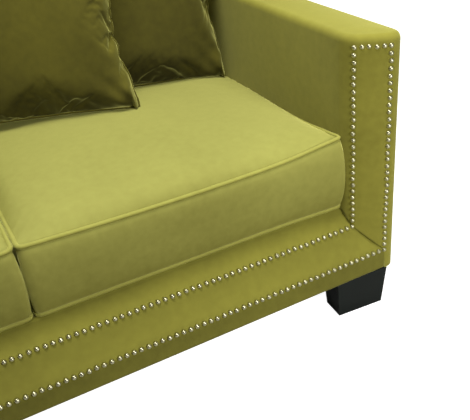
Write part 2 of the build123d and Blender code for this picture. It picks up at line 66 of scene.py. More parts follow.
NO_BELLY = (0, 0, 0, 0.0)
PILLOW = 420.0
PILLOW_THICK = 56.0
FRONT_PILLOW = (383.0, -50.0, 462.0, 21.0, 15.0, 0.0)
CORNER_PILLOW = (657.0, 62.0, 434.0, 6.0, 9.5, -5.0)


def inside_back_y(z):
    """Where the leaning inside back is at a height."""
    return BACK_FOOT_Y + (z - DECK_Z) * LEAN


# ---------------------------------------------------------------- shader maths
class Value:
    """A socket that adds Math nodes when it is used in an expression."""

    def __init__(self, shader, socket):
        self.shader, self.socket = shader, socket

    def _math(self, operation, a, b=None):
        return self.shader.node("ShaderNodeMath", {"operation": operation}, [a] if b is None else [a, b])

    def __add__(self, other): return self._math("ADD", self, other)
    def __radd__(self, other): return self._math("ADD", other, self)
    def __sub__(self, other): return self._math("SUBTRACT", self, other)
    def __rsub__(self, other): return self._math("SUBTRACT", other, self)
    def __mul__(self, other): return self._math("MULTIPLY", self, other)
    def __rmul__(self, other): return self._math("MULTIPLY", other, self)
    def __pow__(self, other): return self._math("POWER", self, other)

    def clamp(self):
        return self.shader.node("ShaderNodeClamp", {}, [self, 0.0, 1.0])


class Shader:
    """One material's node tree, with a Principled shader at its end."""

    def __init__(self, name):
        self.material = bpy.data.materials.new(name)
        self.material.use_nodes = True
        self.tree = self.material.node_tree
        self.bsdf = self.tree.nodes["Principled BSDF"]
        self.coords = self.node("ShaderNodeTexCoord", {}, [], "Object")

    def node(self, kind, settings=None, inputs=(), output=0):
        """Adds a node: its settings first, then the values or links of its sockets."""
        made = self.tree.nodes.new(kind)
        for key, value in (settings or {}).items():
            setattr(made, key, value)
        pairs = inputs.items() if isinstance(inputs, dict) else enumerate(inputs)
        for key, value in pairs:
            self.put(made.inputs[key], value)
        return Value(self, made.outputs[output])

    def put(self, socket, value):
        if isinstance(value, Value):
            self.tree.links.new(value.socket, socket)
        else:
            socket.default_value = value

    def set(self, **sockets):
        for key, value in sockets.items():
            self.put(self.bsdf.inputs[key.replace("_", " ")], value)

    def noise(self, scale, detail=3.0, stretch=(1, 1, 1)):
        where = self.node("ShaderNodeMapping", {}, {"Vector": self.coords, "Scale": stretch})
        return self.node("ShaderNodeTexNoise", {}, {"Vector": where, "Scale": scale, "Detail": detail})

    def mix(self, factor, a, b):
        """A blend of two plain colours; 0, 6, 7 and 2 are the node's sockets for colours."""
        return self.node("ShaderNodeMix", {"data_type": "RGBA"}, {0: factor, 6: (*a, 1), 7: (*b, 1)}, 2)

    def bump(self, height, strength, distance):
        sockets = {"Strength": strength, "Distance": distance, "Height": height}
        return self.node("ShaderNodeBump", {}, sockets)


def linear(r, g, b):
    """An sRGB colour, 0 to 255, as linear light."""
    return tuple(((c / 255 + 0.055) / 1.055) ** 2.4 for c in (r, g, b))


def velvet(name, low, high, sheen=0.55):
    """Velvet: painted light makes what faces up lighter, soft brushed patches vary its tone at random, and a
    sheen lies over it.
    """
    s = Shader(name)
    normal = s.node("ShaderNodeNewGeometry", {}, [], "Normal")
    up = s.node("ShaderNodeSeparateXYZ", {}, [normal], 2)
    brushed = s.noise(3.2, 3.0, (1.0, 0.6, 1.0))
    fine = s.noise(60.0, 2.0)
    pile = s.noise(1900.0, 2.0)
    # painted light: faces turned up are mixed toward the lighter colour; the brushed and fine noise add random
    # tone
    painted_light_and_patches = (up * 0.50 + 0.30 + (brushed - 0.5) * 0.5 + (fine - 0.5) * 0.22).clamp()
    s.set(Base_Color=s.mix(painted_light_and_patches, low, high))
    s.set(Roughness=0.82 + (brushed - 0.5) * 0.2)
    s.set(Normal=s.bump(pile * 0.5 + fine * 0.5, 0.25, 0.0006))
    s.set(Sheen_Weight=sheen, Sheen_Roughness=0.42, Specular_IOR_Level=0.12)
    s.bsdf.inputs["Sheen Tint"].default_value = (*linear(226, 223, 132), 1)
    return s.material


def lacquer():
    s = Shader("black_lacquered_wood")
    grain = s.noise(18.0, 5.0, (1.0, 1.0, 0.12))
    s.set(Base_Color=s.mix(grain, (0.002, 0.003, 0.002), (0.007, 0.010, 0.007)))
    s.set(Specular_IOR_Level=0.16)
    s.set(Roughness=0.40 + grain * 0.14)
    s.set(Normal=s.bump(grain, 0.12, 0.0008))
    return s.material


def metal(name, dark, light, rough):
    s = Shader(name)
    marks = s.noise(420.0, 3.0)
    s.set(Base_Color=s.mix(marks, dark, light))
    s.set(Metallic=1.0, Roughness=rough + marks * 0.12)
    return s.material


def timber():
    s = Shader("planed_timber")
    grain = s.noise(24.0, 5.0, (0.15, 1.0, 1.0))
    s.set(Base_Color=s.mix(grain, linear(150, 112, 70), linear(206, 170, 122)))
    s.set(Roughness=0.6 + grain * 0.1)
    s.set(Normal=s.bump(grain, 0.2, 0.0008))
    return s.material


def plain_cloth(name, dark, light, scale):
    s = Shader(name)
    weave = s.noise(scale, 2.0)
    s.set(Base_Color=s.mix(weave, dark, light))
    s.set(Roughness=0.92)
    s.set(Normal=s.bump(weave, 0.4, 0.0005))
    return s.material


VELVET_LOW, VELVET_HIGH = linear(66, 61, 12), linear(134, 130, 50)
# painted light: the seat cushions' copy of the velvet is lighter than the frame's
velvet_seat_painted_light = velvet("velvet_seat_painted_light", linear(96, 91, 30), linear(168, 167, 86), 1.0)
# painted highlight: the welts' copy of the velvet is lighter than the frame's
velvet_welt_painted_highlight = velvet("velvet_welt_painted_highlight", linear(104, 100, 34), linear(174, 172, 86), 1.0)
velvet_frame = velvet("velvet_frame", VELVET_LOW, VELVET_HIGH, 0.85)
# painted light: the arms' and back cushions' copy of the velvet is lighter than the frame's
velvet_arm_painted_light = velvet("velvet_arm_painted_light", linear(88, 83, 22), linear(162, 157, 64), 0.95)
# painted shade: the pillows' copy of the velvet is darker than the frame's
velvet_pillow_painted_shade = velvet("velvet_pillow_painted_shade", linear(30, 26, 3), linear(112, 106, 34), 1.0)
finishes = {
    "velvet": velvet_frame,
    "velvet_piping": velvet_welt_painted_highlight,
    "deck_cloth": velvet_frame,
    "filling": plain_cloth("foam", linear(214, 208, 190), linear(232, 228, 214), 300.0),
    "dust_cloth": plain_cloth("dust_cloth", (0.004, 0.004, 0.004), (0.016, 0.016, 0.016), 900.0),
    "webbing": plain_cloth("webbing", linear(120, 108, 84), linear(170, 158, 130), 700.0),
    "timber": timber(),
    "black_wood": lacquer(),
    "nickel": metal("polished_nickel", linear(148, 144, 110), linear(208, 204, 172), 0.24),
    "spring_steel": metal("spring_steel", linear(96, 96, 98), linear(140, 140, 142), 0.35),
    "zinc_steel": metal("zinc_steel", linear(150, 150, 150), linear(196, 196, 194), 0.3),
    "zip_tape": plain_cloth("zip_tape", linear(58, 56, 20), linear(84, 82, 34), 1200.0),
    "zip_metal": metal("zip_metal", linear(120, 104, 62), linear(170, 150, 96), 0.3),
}
slot_of = {row["node"]: row["material_slot"] for row in frame["record"]["subparts"]}
for node_name, node_object in frame["nodes"].items():
    for place in node_object.material_slots:
        place.link = "OBJECT"
        place.material = finishes[slot_of[node_name]]


# ---------------------------------------------------------------- meshes from arrays
def skin_object(name, points, faces, material):
    """A smooth object from points in metres, its faces turned outward."""
    mesh = bpy.data.meshes.new(name)
    mesh.from_pydata(points.tolist(), [], faces)
    form = bmesh.new()
    form.from_mesh(mesh)
    bmesh.ops.recalc_face_normals(form, faces=form.faces)
    form.to_mesh(mesh)
    form.free()
    mesh.polygons.foreach_set("use_smooth", [True] * len(mesh.polygons))
    mesh.materials.append(material)
    made = bpy.data.objects.new(name, mesh)
    bpy.context.scene.collection.objects.link(made)
    return made


def ring_mesh(name, rings, material):
    """A closed skin through rings of points, with a pole closing each end."""
    count, around = rings.shape[:2]
    poles = np.stack([rings[0].mean(0), rings[-1].mean(0)])
    points = np.concatenate([rings.reshape(-1, 3), poles]) * MM
    a = np.arange(count * around).reshape(count, around)
    b = np.roll(a, -1, axis=1)
    quads = np.stack([a[:-1], b[:-1], b[1:], a[1:]], axis=-1).reshape(-1, 4)
    low, high = count * around, count * around + 1
    start = np.stack([b[0], a[0], np.full(around, low)], axis=-1)
    end = np.stack([a[-1], b[-1], np.full(around, high)], axis=-1)
    return skin_object(name, points, quads.tolist() + start.tolist() + end.tolist(), material)


def tube_mesh(name, path, radius, material, around=10):
    """A round welt along a closed path: rings square to the path, joined end to end."""
    along = np.roll(path, -1, axis=0) - np.roll(path, 1, axis=0)
    along /= np.linalg.norm(along, axis=1, keepdims=True)
    side = np.cross(along, np.array([0.02, 0.03, 1.0]))
    side /= np.linalg.norm(side, axis=1, keepdims=True)
    other = np.cross(side, along)
    turn = np.linspace(0, 2 * np.pi, around, endpoint=False)[None, :, None]
    points = path[:, None] + radius * (np.cos(turn) * side[:, None] + np.sin(turn) * other[:, None])
    count = len(path)
    a = np.arange(count * around).reshape(count, around)
    b = np.roll(a, -1, axis=1)
    quads = np.stack([a, b, np.roll(b, -1, axis=0), np.roll(a, -1, axis=0)], axis=-1).reshape(-1, 4)
    return skin_object(name, points.reshape(-1, 3) * MM, quads.tolist(), material)


def along_corners(corners, step):
    """Points evenly spaced along straight runs between corners, each run a whole number of steps."""
    points = []
    for start, end in zip(corners[:-1], corners[1:]):
        start, end = np.array(start, float), np.array(end, float)
        parts = max(1, int(round(np.linalg.norm(end - start) / step)))
        points.append(start + (end - start) * (np.arange(parts) / parts)[:, None])
    return np.concatenate(points + [np.array([corners[-1]], float)])


def rounded_rectangle(half_w, half_h, radius, count):
    """Points and outward normals evenly round a rectangle with round corners, from its front middle."""
    bend = np.pi / 2 * radius
    across, upward = 2 * (half_w - radius), 2 * (half_h - radius)
    lengths = np.array([across / 2, bend, upward, bend, across, bend, upward, bend, across / 2])
    ends = np.concatenate([[0], np.cumsum(lengths)])
    s = np.linspace(0, ends[-1], count, endpoint=False)
    angles = np.array([-90, -90, 0, 0, 90, 90, 180, 180, 270, 270]) * np.pi / 180
    angle = np.interp(s, ends, angles)
    normal = np.stack([np.cos(angle), np.sin(angle)], axis=-1)
    inner_w, inner_h = half_w - radius, half_h - radius
    right, left = inner_w, -inner_w
    x = np.interp(s, ends, [0, right, right, right, right, left, left, left, left, 0])
    low, high = -inner_h, inner_h
    y = np.interp(s, ends, [low, low, low, high, high, high, high, low, low, low])
    return np.stack([x, y], axis=-1) + normal * radius, normal


def ripple(p, seed, size):
    """Smooth uneven relief between -1 and 1: a few sine waves in set directions."""
    local = np.random.default_rng(seed)
    total = 0
    for _ in range(6):
        way = local.normal(size=3)
        way /= np.linalg.norm(way)
        total = total + np.sin(p @ way / size * local.uniform(0.6, 1.7) + local.uniform(0, 6.3))
    return total / 6


def boxed_cushion(name, half, radius, thick, crown, belly, puckers, place, material, seed):
    """A box cushion: half is half its width and depth, crown the heights of a steep puff inside the
    seam and of a wide dome, which fade at the edges as (1 - u2)(1 - v2). belly is how far the front,
    the ends and the rear swell along their normals, and the share of the crown on the underside.
    Returns the cushion and its two seams."""
    edge, normal = rounded_rectangle(half[0], half[1], radius, 480)
    arc = np.linspace(0, 2 * np.pi, 480, endpoint=False)[:, None]
    gather = np.sin(arc * 61 + 2.3 * np.sin(arc * 7)) * (0.6 + 0.4 * np.sin(arc * 5 + seed))
    rings = []

    def face(scale, sign):
        flat = edge * scale
        u, v = flat[:, :1] / half[0], flat[:, 1:] / half[1]
        fade = np.clip((1 - u ** 2) * (1 - v ** 2), 0, 1)
        puff, wide = crown
        height = puff * (1 - np.exp(-fade / 0.075)) + wide * fade ** 0.8
        near = np.exp(-((1 - scale) / 0.06)) * (1 - np.exp(-((1 - scale) / 0.006)))
        height = height + puckers * gather * near
        if sign < 0:
            height = height * belly[3]
        p = np.concatenate([flat, sign * (thick / 2 + height)], axis=1)
        return p

    scales = np.concatenate([np.linspace(0.02, 0.9, 30), 1 - np.geomspace(0.09, 0.001, 16)])
    for scale in scales:
        rings.append(face(scale, -1))
    amount = (belly[0] * np.clip(-normal[:, 1:], 0, 1) + belly[1] * np.abs(normal[:, :1])
              + belly[2] * np.clip(normal[:, 1:], 0, 1))
    for level in np.linspace(-1, 1, 19):
        bulge = (1 - level ** 2) ** 0.6
        p = edge + normal * (amount * bulge + puckers * 0.5 * gather * bulge)
        rings.append(np.concatenate([p, np.full((len(p), 1), level * thick / 2)], axis=1))
    for scale in scales[::-1]:
        rings.append(face(scale, 1))
    rings = np.stack(rings)
    seams = [np.concatenate([edge, np.full((len(edge), 1), z)], axis=1) for z in (-thick / 2, thick / 2)]
    moved = place(rings + 0.5 * ripple(rings, seed, 60.0)[..., None] * np.array([0.0, 0.0, 1.0]))
    return ring_mesh(name, moved, material), [place(seam) for seam in seams]


def finish_piece(piece, body, slot, *nodes):
    """Puts each new piece under its body and hides the solids that it stands for; slot, its finish, is not used.
    """
    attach(piece, body)
    if nodes:
        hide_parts(*nodes)


# ---------------------------------------------------------------- base front
def puffed(start, end, height, count):
    """A straight run that swells to one side by a sine, as (first, second) coordinates."""
    start, end = np.array(start, float), np.array(end, float)
    t = np.linspace(0, 1, count)[:, None]
    way = (end - start) / np.linalg.norm(end - start)
    out = np.array([way[1], -way[0]])
    return start + (end - start) * t + out * height * np.sin(np.pi * t) ** 0.8


def base_front():
    """The base section carried from arm to arm. Each point of the section has its own half width,
    which makes the mitres at both ends."""
    roll_top = (ROW_Y + 32, DECK_Z - 2)
    face = puffed((ROW_Y, ROW_Z), (OUT_Y, OUT_Z), -3.2, 22)
    roll = puffed((ROW_Y, ROW_Z), roll_top, 5.0, 14)[::-1]
    band = puffed((OUT_Y, OUT_Z), (OUT_Y, BAND_Z + 3), -0.8, 12)
    behind_face = [(OUT_Y + 14, OUT_Z), (ROW_Y + 16, ROW_Z - 4), (ROW_Y + 48, DECK_Z - 20)]
    back = np.array([(OUT_Y + 3, BAND_Z), (OUT_Y + 14, BAND_Z), *behind_face, (ROW_Y + 48, DECK_Z)])
    section = np.concatenate([roll, face[1:], band[1:], back])
    z = section[:, 1]
    half = np.interp(z, [BAND_Z, OUT_Z - 0.1, OUT_Z, ROW_Z, ROW_Z + 8, DECK_Z],
                     [SEAM_X, SEAM_X, OUT_X + 0.5, ROW_X + 1, ROW_X - 1, ARM_IN])
    stations = np.linspace(-1, 1, 401)[:, None]
    x = stations * half[None]
    on_face = ((z <= ROW_Z + 4) & (z >= OUT_Z - 4))[None]
    # each nail row presses a small groove, deeper at every nail
    from_inner = np.hypot(section[:, 0] - ROW_Y, z - ROW_Z)
    from_outer = np.hypot(section[:, 0] - OUT_Y, z - OUT_Z)
    from_row = np.minimum(from_inner, from_outer)[None]
    pressed = np.exp(-(from_row / 6.5) ** 2)
    scallop = -pressed * (1.3 + 0.8 * np.cos(2 * np.pi * x / NAIL_PITCH)) * (half[None] > ARM_IN + 4)
    waves = 0.7 * ripple(np.stack([x, x * 0, np.broadcast_to(z, x.shape)], -1), 3, 80.0) * on_face
    y = section[None, :, 0] - scallop - waves
    rings = np.stack([x, y, np.broadcast_to(z, x.shape)], axis=-1)
    return ring_mesh("base_front_cover", rings, velvet_frame)


base_cover = base_front()
finish_piece(base_cover, "frame", "velvet", "base_front_panel")


# ---------------------------------------------------------------- arms
def arm_cover(side, word):
    """The arm outline in plan, carried up from the mitre to the arm top and rounded over it."""
    face = puffed((ROW_X, ROW_Y), (OUT_X, OUT_Y), 3.0, 20)
    roll = puffed((ARM_IN, ROW_Y + 34), (ROW_X, ROW_Y), 2.2, 10)
    inner_face = along_corners([(ARM_IN, BACK_Y - 20), (ARM_IN, ROW_Y + 34)], 22)
    strip = along_corners([(OUT_X, OUT_Y), (SEAM_X, OUT_Y), (ARM_OUT - EDGE_R, OUT_Y)], 3)
    turn = np.linspace(-90, 0, 12)[1:] * np.pi / 180
    edge_x, swing = ARM_OUT - EDGE_R + EDGE_R * np.cos(turn), EDGE_R * np.sin(turn)
    front_edge = np.stack([edge_x, OUT_Y + EDGE_R + swing], -1)
    outside = along_corners([(ARM_OUT, OUT_Y + EDGE_R), (ARM_OUT, BACK_Y - EDGE_R)], 22)[1:]
    rear_edge = np.stack([edge_x, BACK_Y - EDGE_R - swing], -1)[::-1]
    rear = along_corners([(ARM_OUT - EDGE_R, BACK_Y), (ARM_IN, BACK_Y - 2)], 12)[1:-1]
    runs = [inner_face, roll[1:], face[1:], strip[1:], front_edge, outside, rear_edge, rear]
    outline = np.concatenate(runs)
    x, y = outline[:, 0], outline[:, 1]
    low = np.interp(x, [ARM_IN, ARM_IN + 1, ROW_X, OUT_X], [DECK_Z - 26, DECK_Z, ROW_Z, OUT_Z])
    behind = (x > SEAM_X - 0.5) | (y > ROW_Y + 60)
    low = np.where(behind & (x > ARM_IN + 1), BAND_Z, low)
    along = np.roll(outline, -1, axis=0) - np.roll(outline, 1, axis=0)
    along /= np.linalg.norm(along, axis=1, keepdims=True)
    inward = np.stack([-along[:, 1], along[:, 0]], -1)
    middle = np.stack([np.full_like(x, (ARM_IN + ARM_OUT) / 2), np.clip(y, ROW_Y + 35, BACK_Y - 60)], -1)
    edge_r = 15.0
    rings = []
    for t in np.linspace(0, 1, 130):
        z = low + (ARM_TOP - edge_r - low) * t
        to_back = np.clip((y - OUT_Y) / (BACK_Y - OUT_Y), 0, 1)
        swell = 2.0 * np.sin(np.pi * t) * (x > ARM_OUT - 1) * np.sin(np.pi * to_back)
        flat = outline - inward * swell[:, None]
        rings.append(np.concatenate([flat, z[:, None]], axis=1))
    for turn_up in np.linspace(0, np.pi / 2, 9)[1:]:
        flat = outline + inward * edge_r * (1 - math.cos(turn_up))
        height = ARM_TOP - edge_r * (1 - math.sin(turn_up))
        rings.append(np.concatenate([flat, np.full((len(x), 1), height)], axis=1))
    last = rings[-1][:, :2]
    for t in np.linspace(0, 1, 9)[1:]:
        flat = last + (middle - last) * t * 0.98
        height = ARM_TOP + 2.5 * math.sin(t * np.pi / 2)
        rings.append(np.concatenate([flat, np.full((len(x), 1), height)], axis=1))
    rings = np.stack(rings)
    rings[..., 0] *= side
    return ring_mesh("arm_cover_" + word, rings, velvet_arm_painted_light)


for side, word in ((1, "right"), (-1, "left")):
    arm = arm_cover(side, word)
    panels = ["arm_%s_panel_%s" % (part, word) for part in ("front", "outside", "inside", "top")]
    finish_piece(arm, "frame", "velvet", *panels)


# ---------------------------------------------------------------- back
def leaning_place(middle_z, depth):
    """Sets a face parallel to the inside back: its x across, its y up the slope, its z forward."""
    lean = math.radians(9.0)

    def place(p):
        up = middle_z + p[..., 1] * math.cos(lean)
        y = inside_back_y(middle_z) + p[..., 1] * math.sin(lean) - (p[..., 2] - depth) * math.cos(lean)
        return np.stack([p[..., 0], y, up + p[..., 2] * math.sin(lean)], -1)
    return place


def back_upper():
    """The back above the arms: a bar with rounded ends and top, its front leaning."""
    edge, _ = rounded_rectangle(ARM_OUT, 0.5, 0.45, 700)
    across = edge[:, 0]
    depth = np.clip(edge[:, 1] + 0.5, 0, 1)
    low, high, edge_r = ARM_TOP - 20, BACK_TOP, 16.0
    rings = []
    steps = [(low + (high - edge_r - low) * t, 0.0) for t in np.linspace(0, 1, 40)]
    for a in np.linspace(0, np.pi / 2, 9)[1:]:
        steps.append((high - edge_r * (1 - math.sin(a)), edge_r * (1 - math.cos(a))))
    steps += [(high + 2.0 * t, edge_r + 19 * t) for t in np.linspace(0, 1, 6)[1:]]
    for z, inset in steps:
        front, rear = inside_back_y(z) + inset, BACK_Y - inset
        corner = 12.0
        from_end = ARM_OUT - inset - np.abs(across) * (ARM_OUT - inset) / ARM_OUT
        chord = np.sqrt(np.clip(corner ** 2 - (corner - from_end) ** 2, 0, None))
        round_in = np.where(from_end < corner, corner - chord, 0)
        y = np.where(depth < 0.5, front + round_in, rear - round_in)
        y = np.where(np.abs(depth - 0.5) < 0.45, front + (rear - front) * depth, y)
        rings.append(np.stack([across * (ARM_OUT + 0.6 - inset) / ARM_OUT, y, np.full_like(y, z)], -1))
    return ring_mesh("back_top_cover", np.stack(rings), velvet_frame)


back_cover = back_upper()
finish_piece(back_cover, "frame", "velvet", "back_top_panel", "back_end_panel_right", "back_end_panel_left")

inside_low, inside_high = DECK_Z - 20, ARM_TOP - 10
inside_half = (ARM_IN - 1, (inside_high - inside_low) / 2)
inside_place = leaning_place((inside_high + inside_low) / 2, 7.0)
inside_back, _ = boxed_cushion("inside_back_cover", inside_half, 12, 12, (1, 3), NO_BELLY, 0.3, inside_place,
                               velvet_frame, 5)
finish_piece(inside_back, "frame", "velvet", "inside_back_panel")


def outside_place(p):
    """Sets a face on the outside back: its z points backwards."""
    return np.stack([-p[..., 0], BACK_Y - 7 + p[..., 2], (BAND_Z + ARM_TOP) / 2 + p[..., 1]], -1)


outside_half = (SEAM_X + 3, (ARM_TOP - BAND_Z) / 2)
outside_back, _ = boxed_cushion("outside_back_cover", outside_half, 6, 13, (0.5, 2), NO_BELLY, 0.3, outside_place,
                                velvet_frame, 6)
finish_piece(outside_back, "frame", "velvet", "outside_back_panel")


# ---------------------------------------------------------------- nails
def dome_mesh(name, places, outward):
    """Nail heads: each a shallow dome of few faces, slightly uneven in place and tilt."""
    places = np.array(places)
    outward = np.array(outward, float)
    outward = outward / np.linalg.norm(outward, axis=-1, keepdims=True)
    jitter = rng.normal(0, 0.45, places.shape)
    places = places + jitter - outward * (jitter * outward).sum(-1, keepdims=True)
    tilt = outward + rng.normal(0, 0.05, places.shape)
    tilt /= np.linalg.norm(tilt, axis=-1, keepdims=True)
    side = np.cross(tilt, [0.3, 0.9, 0.2])
    side /= np.linalg.norm(side, axis=-1, keepdims=True)
    other = np.cross(tilt, side)
    around = 12
    turn = np.linspace(0, 2 * np.pi, around, endpoint=False)
    rings = [(0.96, -0.3), (1.0, 0.05), (0.90, 0.42), (0.62, 0.80)]
    shape = [(r * np.cos(turn), r * np.sin(turn), np.full(around, h)) for r, h in rings]
    shape = np.stack([np.stack(part, -1) for part in shape]).reshape(-1, 3)
    shape = np.concatenate([shape, [[0, 0, 1.0], [0, 0, -0.35]]]) * [NAIL_R, NAIL_R, NAIL_H]
    points = (places[:, None] + shape[None, :, :1] * side[:, None] + shape[None, :, 1:2] * other[:, None]
              + shape[None, :, 2:] * tilt[:, None])
    a = np.arange(len(rings) * around).reshape(len(rings), around)
    b = np.roll(a, -1, axis=1)
    faces = np.stack([a[:-1], b[:-1], b[1:], a[1:]], -1).reshape(-1, 4).tolist()
    top = len(rings) * around
    faces += [[int(a[-1][i]), int(b[-1][i]), top] for i in range(around)]
    faces += [[int(b[0][i]), int(a[0][i]), top + 1] for i in range(around)]
    every = [[v + k * len(shape) for v in face] for k in range(len(places)) for face in faces]
    return skin_object(name, points.reshape(-1, 3) * MM, every, finishes["nickel"])


def base_rows():
    places = []
    for x, y, z in ((ROW_X, ROW_Y, ROW_Z), (OUT_X, OUT_Y, OUT_Z)):
        reach = x - NAIL_PITCH
        places.append(along_corners([(-reach, y, z), (reach, y, z)], NAIL_PITCH))
    places = np.concatenate(places)
    outward = np.tile([0.0, -FACE_DOWN, FACE_FORWARD * 0.6], (len(places), 1))
    return dome_mesh("base_nail_heads", places, outward)


def arm_rows(side, word):
    top = ARM_TOP - 22
    inner = along_corners([(ROW_X, ROW_Y, ROW_Z), (ROW_X, ROW_Y, top)], NAIL_PITCH)
    outer = along_corners([(OUT_X, OUT_Y, OUT_Z), (OUT_X, OUT_Y, top)], NAIL_PITCH)
    over = along_corners([(ROW_X, ROW_Y, top), (OUT_X, OUT_Y - 2.5, top)], NAIL_PITCH)[1:-1]
    places = np.concatenate([inner, outer, over])
    places[:, 0] *= side
    outward = np.tile([-side * FACE_FORWARD * 0.7, -FACE_OUT, 0.0], (len(places), 1))
    return dome_mesh("arm_nail_heads_" + word, places, outward)


finish_piece(base_rows(), "frame", "nickel", "base_nails")
for side, word in ((1, "right"), (-1, "left")):
    finish_piece(arm_rows(side, word), "frame", "nickel", "arm_nails_" + word)


# ---------------------------------------------------------------- seat cushions
SEAT_CROWN = (23.0, 27.0)


def seat_top(x, y):
    """The height of the filled seat at a place, between its seams."""
    u = np.clip((np.abs(x) - SEAT_MID_X) / SEAT_HALF_W, -1, 1)
    v = np.clip((y - (SEAT_FRONT + SEAT_REAR) / 2) / ((SEAT_REAR - SEAT_FRONT) / 2), -1, 1)
    fade = (1 - u ** 2) * (1 - v ** 2)
    return SEAT_EDGE + SEAT_CROWN[0] * (1 - np.exp(-fade / 0.075)) + SEAT_CROWN[1] * fade ** 0.8


def seat_place(side):
    middle_y = (SEAT_FRONT + SEAT_REAR) / 2
    half_h = (SEAT_REAR - SEAT_FRONT) / 2
    middle_z = (SEAT_LOW + SEAT_EDGE) / 2

    def place(p):
        """The front seam sags between its corners, and the corner at the arm stands up and out."""
        u, v = p[..., 0] / SEAT_HALF_W, p[..., 1] / half_h
        front = np.clip(-v, 0, 1) ** 6 * np.clip(1 - u ** 2, 0, 1)
        upper = np.clip(p[..., 2] / ((SEAT_EDGE - SEAT_LOW) / 2), 0, 1)
        to_arm = np.hypot((1 - side * u) * SEAT_HALF_W, (v + 1) * half_h)
        ear = np.exp(-(to_arm / 95.0) ** 2)
        waist = np.clip(1 - (p[..., 2] / ((SEAT_EDGE - SEAT_LOW) / 2 + 1)) ** 2, 0, 1)
        out = ear * (0.62 + 0.38 * waist) * np.clip((-v - 0.94) * 20, 0, 1)
        x = p[..., 0] + side * (SEAT_MID_X + 8 * out)
        y = p[..., 1] + middle_y - 5 * front * upper - 10 * out
        z = p[..., 2] + middle_z - (5 * front - 13 * ear) * upper
        return np.stack([x, y, z], -1)
    return place


for side, word in ((1, "right"), (-1, "left")):
    body = "seat_cushion_" + word
    half = (SEAT_HALF_W, (SEAT_REAR - SEAT_FRONT) / 2)
    cushion, seams = boxed_cushion("seat_cushion_cover_" + word, half, 11, SEAT_EDGE - SEAT_LOW, SEAT_CROWN,
                                   (13, 2.0, 3, 0.0), 0.9, seat_place(side), velvet_seat_painted_light, 11 + side)
    finish_piece(cushion, body, "velvet", "seat_cover_" + word, "seat_core_" + word)
    for level, seam in zip(("lower", "upper"), seams):
        welt = tube_mesh("seat_welt_%s_%s" % (level, word), seam, PIPE_R, velvet_welt_painted_highlight)
        if level == "upper":
            finish_piece(welt, body, "velvet_piping", "seat_piping_" + word)
        else:
            finish_piece(welt, body, "velvet_piping")

deck_half = (ARM_IN - 1, 325.0)


def deck_place(p):
    return np.stack([p[..., 0], p[..., 1] - 34.0, p[..., 2] + DECK_Z - 11], -1)


deck, _ = boxed_cushion("deck_cover", deck_half, 10, 20, (0.2, 0.3), NO_BELLY, 0.1, deck_place, velvet_frame, 9)
finish_piece(deck, "frame", "deck_cloth", "deck_pad")


# ---------------------------------------------------------------- back cushions
BACK_HALF = (325.0, 205.0)
BACK_THICK = 112.0


def back_place(side):
    leaning = leaning_place(SEAT_EDGE + 16 + BACK_HALF[1], -BACK_THICK / 2 - 12)

    def place(p):
        """Set against the back; the lower edge is pressed to the crown of the seat."""
        q = leaning(p)
        q[..., 0] += side * SEAT_MID_X
        floor = seat_top(q[..., 0], q[..., 1]) + 2.0
        q[..., 2] = np.maximum(q[..., 2], floor)
        return q
    return place


for side, word in ((1, "right"), (-1, "left")):
    cushion, seams = boxed_cushion("back_cushion_cover_" + word, BACK_HALF, 40, BACK_THICK, (14.0, 16.0),
                                   (6, 7, 10, 0.45), 1.4, back_place(side), velvet_arm_painted_light, 21 + side)
    finish_piece(cushion, "back_cushion_" + word, "velvet", "back_cover_" + word, "back_core_" + word)
    welt = tube_mesh("back_welt_" + word, seams[1], 3.6, velvet_welt_painted_highlight)
    finish_piece(welt, "back_cushion_" + word, "velvet_piping")


# ---------------------------------------------------------------- toss pillows
def pillow_place(spec):
    """The plane of a pillow: x along its lower edge, y up its face, z out of its front."""
    x, y, z, yaw, lean, roll = spec
    yaw, lean, roll = (math.radians(v) for v in (yaw, lean, roll))
    along = np.array([math.cos(yaw), -math.sin(yaw), 0])
    front = np.array([-math.sin(yaw) * math.cos(lean), -math.cos(yaw) * math.cos(lean), math.sin(lean)])
    up = np.cross(front, along)
    right = math.cos(roll) * along + math.sin(roll) * up
    rise = -math.sin(roll) * along + math.cos(roll) * up
    middle = np.array([x, y, z]) - right * PILLOW / 2 + rise * PILLOW / 2

    def place(p):
        q = middle + p[..., :1] * right + p[..., 1:2] * rise + p[..., 2:] * front
        floor = seat_top(q[..., 0], q[..., 1]) + 1.0
        q[..., 2] = np.maximum(q[..., 2], floor)
        return q
    return place


def sewn_sheets(count):
    """Two square sheets sewn at their edge, as a grid from -1 to 1, the back one counted after the front.
    They stand a little apart by (1 - u^4)(1 - v^4)."""
    u, v = np.meshgrid(np.linspace(-1, 1, count), np.linspace(-1, 1, count), indexing="ij")
    front = np.arange(count * count).reshape(count, count)
    inside = np.zeros((count, count), bool)
    inside[1:-1, 1:-1] = True
    back = front.copy()
    back[inside] = count * count + np.arange(inside.sum())
    gap = (1 - u ** 4) * (1 - v ** 4)
    flat = np.stack([u, v, gap], -1)
    points = np.concatenate([flat.reshape(-1, 3), (flat * [1, 1, -1])[inside]])

    def quads(g):
        return np.stack([g[:-1, :-1], g[1:, :-1], g[1:, 1:], g[:-1, 1:]], -1).reshape(-1, 4)
    faces = np.concatenate([quads(front), quads(back)[:, ::-1]])
    rim = np.concatenate([front[:, 0], front[-1, 1:], front[-2::-1, -1], front[0, -2:0:-1]])
    return points, faces, rim


